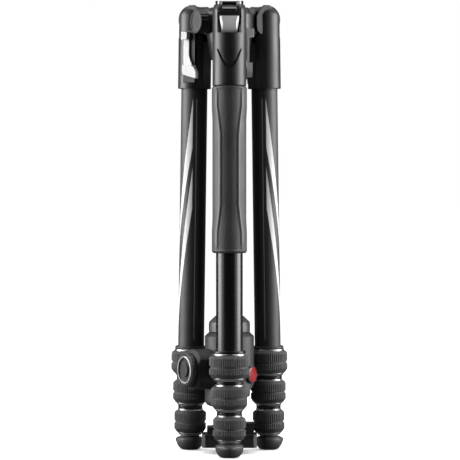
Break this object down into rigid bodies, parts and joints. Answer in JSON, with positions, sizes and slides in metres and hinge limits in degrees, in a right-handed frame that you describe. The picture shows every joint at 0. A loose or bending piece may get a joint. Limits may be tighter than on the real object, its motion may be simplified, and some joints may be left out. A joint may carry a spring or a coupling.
{
  "type": "travel tripod",
  "caption": "Folded travel tripod: twist-lock legs turned back along the column, with a ball head and quick plate hanging between the feet.",
  "frame": {"origin": "middle of the quick plate's camera face, where the camera screw leaves it, on the column's axis", "axes": "+Z along the column, up from the feet towards the leg hinges; the front leg is towards -Y"},
  "size_m": [0.105, 0.0957, 0.3994],
  "materials": {
    "casting_black": "fine satin black powder coat",
    "tube_black": "black anodised tube, silver printed stripes on two of the first tubes",
    "lock_metal": "turned, bare",
    "lock_rubber": "ribbed black rubber",
    "foot_rubber": "smooth black rubber",
    "selector_silver": "silver grey",
    "steel": "bare steel",
    "bush_plastic": "black low-friction plastic",
    "grip_rubber": "dark grey rubber with a fine texture",
    "knob_black": "soft-touch black",
    "dial_grey": "dark grey satin",
    "badge_red": "glossy red",
    "ball_black": "hard-anodised black, polished",
    "liner_plastic": "off-white plastic",
    "plate_grey": "dark grey anodised"
  },
  "bodies": {
    "hub": {"hub": "casting_black", "hinge_pins": "steel", "column_bush": "bush_plastic"},
    "front_leg": {"front_shoulder": "casting_black", "front_tube_1": "tube_black", "front_grip": "grip_rubber"},
    "front_selector": {"front_selector": "selector_silver"},
    "front_lock_1": {"front_lock_1": "lock_metal", "front_sleeve_1": "lock_rubber"},
    "front_section_2": {"front_tube_2": "tube_black"},
    "front_lock_2": {"front_lock_2": "lock_metal", "front_sleeve_2": "lock_rubber"},
    "front_section_3": {"front_tube_3": "tube_black"},
    "front_lock_3": {"front_lock_3": "lock_metal", "front_sleeve_3": "lock_rubber"},
    "front_section_4": {"front_tube_4": "tube_black", "front_foot": "foot_rubber"},
    "left_leg": {"left_shoulder": "casting_black", "left_tube_1": "tube_black"},
    "left_selector": {"left_selector": "selector_silver"},
    "left_lock_1": {"left_lock_1": "lock_metal", "left_sleeve_1": "lock_rubber"},
    "left_section_2": {"left_tube_2": "tube_black"},
    "left_lock_2": {"left_lock_2": "lock_metal", "left_sleeve_2": "lock_rubber"},
    "left_section_3": {"left_tube_3": "tube_black"},
    "left_lock_3": {"left_lock_3": "lock_metal", "left_sleeve_3": "lock_rubber"},
    "left_section_4": {"left_tube_4": "tube_black", "left_foot": "foot_rubber"},
    "right_leg": {"right_shoulder": "casting_black", "right_tube_1": "tube_black"},
    "right_selector": {"right_selector": "selector_silver"},
    "right_lock_1": {"right_lock_1": "lock_metal", "right_sleeve_1": "lock_rubber"},
    "right_section_2": {"right_tube_2": "tube_black"},
    "right_lock_2": {"right_lock_2": "lock_metal", "right_sleeve_2": "lock_rubber"},
    "right_section_3": {"right_tube_3": "tube_black"},
    "right_lock_3": {"right_lock_3": "lock_metal", "right_sleeve_3": "lock_rubber"},
    "right_section_4": {"right_tube_4": "tube_black", "right_foot": "foot_rubber"},
    "column": {"column": "tube_black", "column_cap": "bush_plastic", "head_base": "dial_grey"},
    "column_knob": {"column_knob": "knob_black"},
    "head": {"head_body": "casting_black", "badge": "badge_red"},
    "pan_knob": {"pan_knob": "knob_black"},
    "main_knob": {"main_knob": "knob_black"},
    "friction_dial": {"friction_dial": "dial_grey"},
    "liner": {"ball_seat": "liner_plastic"},
    "ball": {"ball": "ball_black", "ball_stem": "dial_grey"},
    "clamp": {"clamp": "casting_black", "plate": "plate_grey", "plate_pads": "lock_rubber"},
    "clamp_lever": {"clamp_lever": "dial_grey"},
    "camera_screw": {"camera_screw": "steel"}
  },
  "joints": [
    {"name": "front_leg_fold", "type": "hinge", "parent": "hub", "child": "front_leg", "pos_m": [0, -0.0354, 0.3812], "axis": [-1, 0, 0], "range_deg": [0, 155]},
    {"name": "front_selector_pull", "type": "slide", "parent": "front_leg", "child": "front_selector", "axis": [0, -0.0154, -0.9999], "range_m": [0, 0.0035], "stiffness_N_per_m": 400},
    {"name": "front_lock_1_turn", "type": "hinge", "parent": "front_leg", "child": "front_lock_1", "pos_m": [0, -0.0354, 0.3812], "axis": [0, -0.0154, -0.9999], "range_deg": [0, 100]},
    {"name": "front_section_2_slide", "type": "slide", "parent": "front_leg", "child": "front_section_2", "axis": [0, -0.0154, -0.9999], "range_m": [0, 0.25]},
    {"name": "front_lock_2_turn", "type": "hinge", "parent": "front_section_2", "child": "front_lock_2", "pos_m": [0, -0.0354, 0.3812], "axis": [0, -0.0154, -0.9999], "range_deg": [0, 100]},
    {"name": "front_section_3_slide", "type": "slide", "parent": "front_section_2", "child": "front_section_3", "axis": [0, -0.0154, -0.9999], "range_m": [0, 0.25]},
    {"name": "front_lock_3_turn", "type": "hinge", "parent": "front_section_3", "child": "front_lock_3", "pos_m": [0, -0.0354, 0.3812], "axis": [0, -0.0154, -0.9999], "range_deg": [0, 100]},
    {"name": "front_section_4_slide", "type": "slide", "parent": "front_section_3", "child": "front_section_4", "axis": [0, -0.0154, -0.9999], "range_m": [0, 0.25]},
    {"name": "left_leg_fold", "type": "hinge", "parent": "hub", "child": "left_leg", "pos_m": [-0.03066, 0.0177, 0.3812], "axis": [0.5, 0.866, 0], "range_deg": [0, 155]},
    {"name": "left_selector_pull", "type": "slide", "parent": "left_leg", "child": "left_selector", "axis": [-0.0133, 0.0077, -0.9999], "range_m": [0, 0.0035], "stiffness_N_per_m": 400},
    {"name": "left_lock_1_turn", "type": "hinge", "parent": "left_leg", "child": "left_lock_1", "pos_m": [-0.03066, 0.0177, 0.3812], "axis": [-0.0133, 0.0077, -0.9999], "range_deg": [0, 100]},
    {"name": "left_section_2_slide", "type": "slide", "parent": "left_leg", "child": "left_section_2", "axis": [-0.0133, 0.0077, -0.9999], "range_m": [0, 0.25]},
    {"name": "left_lock_2_turn", "type": "hinge", "parent": "left_section_2", "child": "left_lock_2", "pos_m": [-0.03066, 0.0177, 0.3812], "axis": [-0.0133, 0.0077, -0.9999], "range_deg": [0, 100]},
    {"name": "left_section_3_slide", "type": "slide", "parent": "left_section_2", "child": "left_section_3", "axis": [-0.0133, 0.0077, -0.9999], "range_m": [0, 0.25]},
    {"name": "left_lock_3_turn", "type": "hinge", "parent": "left_section_3", "child": "left_lock_3", "pos_m": [-0.03066, 0.0177, 0.3812], "axis": [-0.0133, 0.0077, -0.9999], "range_deg": [0, 100]},
    {"name": "left_section_4_slide", "type": "slide", "parent": "left_section_3", "child": "left_section_4", "axis": [-0.0133, 0.0077, -0.9999], "range_m": [0, 0.25]},
    {"name": "right_leg_fold", "type": "hinge", "parent": "hub", "child": "right_leg", "pos_m": [0.03066, 0.0177, 0.3812], "axis": [0.5, -0.866, 0], "range_deg": [0, 155]},
    {"name": "right_selector_pull", "type": "slide", "parent": "right_leg", "child": "right_selector", "axis": [0.0133, 0.0077, -0.9999], "range_m": [0, 0.0035], "stiffness_N_per_m": 400},
    {"name": "right_lock_1_turn", "type": "hinge", "parent": "right_leg", "child": "right_lock_1", "pos_m": [0.03066, 0.0177, 0.3812], "axis": [0.0133, 0.0077, -0.9999], "range_deg": [0, 100]},
    {"name": "right_section_2_slide", "type": "slide", "parent": "right_leg", "child": "right_section_2", "axis": [0.0133, 0.0077, -0.9999], "range_m": [0, 0.25]},
    {"name": "right_lock_2_turn", "type": "hinge", "parent": "right_section_2", "child": "right_lock_2", "pos_m": [0.03066, 0.0177, 0.3812], "axis": [0.0133, 0.0077, -0.9999], "range_deg": [0, 100]},
    {"name": "right_section_3_slide", "type": "slide", "parent": "right_section_2", "child": "right_section_3", "axis": [0.0133, 0.0077, -0.9999], "range_m": [0, 0.25]},
    {"name": "right_lock_3_turn", "type": "hinge", "parent": "right_section_3", "child": "right_lock_3", "pos_m": [0.03066, 0.0177, 0.3812], "axis": [0.0133, 0.0077, -0.9999], "range_deg": [0, 100]},
    {"name": "right_section_4_slide", "type": "slide", "parent": "right_section_3", "child": "right_section_4", "axis": [0.0133, 0.0077, -0.9999], "range_m": [0, 0.25]},
    {"name": "column_slide", "type": "slide", "parent": "hub", "child": "column", "axis": [0, 0, 1], "range_m": [0, 0.2]},
    {"name": "column_lock_turn", "type": "hinge", "parent": "hub", "child": "column_knob", "pos_m": [0, 0, 0.3772], "axis": [-0.866, -0.5, 0], "range_deg": [0, 180]},
    {"name": "head_pan", "type": "hinge", "parent": "column", "child": "head", "pos_m": [0, 0, 0.1016], "axis": [0, 0, 1], "range_deg": [-4, 4]},
    {"name": "pan_lock_turn", "type": "hinge", "parent": "head", "child": "pan_knob", "pos_m": [0, 0, 0.0892], "axis": [0, 1, 0], "range_deg": [0, 180]},
    {"name": "ball_lock_turn", "type": "hinge", "parent": "head", "child": "main_knob", "pos_m": [0, 0, 0.0694], "axis": [-0.866, -0.5, 0], "range_deg": [0, 180]},
    {"name": "friction_dial_turn", "type": "hinge", "parent": "main_knob", "child": "friction_dial", "pos_m": [0, 0, 0.0694], "axis": [-0.866, -0.5, 0], "range_deg": [0, 270]},
    {"name": "ball_tilt_sideways", "type": "hinge", "parent": "head", "child": "liner", "pos_m": [0, 0, 0.0482], "axis": [0, 1, 0], "range_deg": [-1.5, 1.5]},
    {"name": "ball_tilt_forwards", "type": "hinge", "parent": "liner", "child": "ball", "pos_m": [0, 0, 0.0482], "axis": [1, 0, 0], "range_deg": [-1.5, 1.5]},
    {"name": "clamp_turn", "type": "hinge", "parent": "ball", "child": "clamp", "pos_m": [0, 0, 0.0482], "axis": [0, 0, 1], "range_deg": [-25, 25]},
    {"name": "clamp_lever_open", "type": "hinge", "parent": "clamp", "child": "clamp_lever", "pos_m": [0.011, 0.0134, 0.01], "axis": [0, 0, -1], "range_deg": [0, 75]},
    {"name": "camera_screw_turn", "type": "hinge", "parent": "clamp", "child": "camera_screw", "pos_m": [0, 0, 0], "axis": [0, 0, 1], "continuous": true}
  ]
}
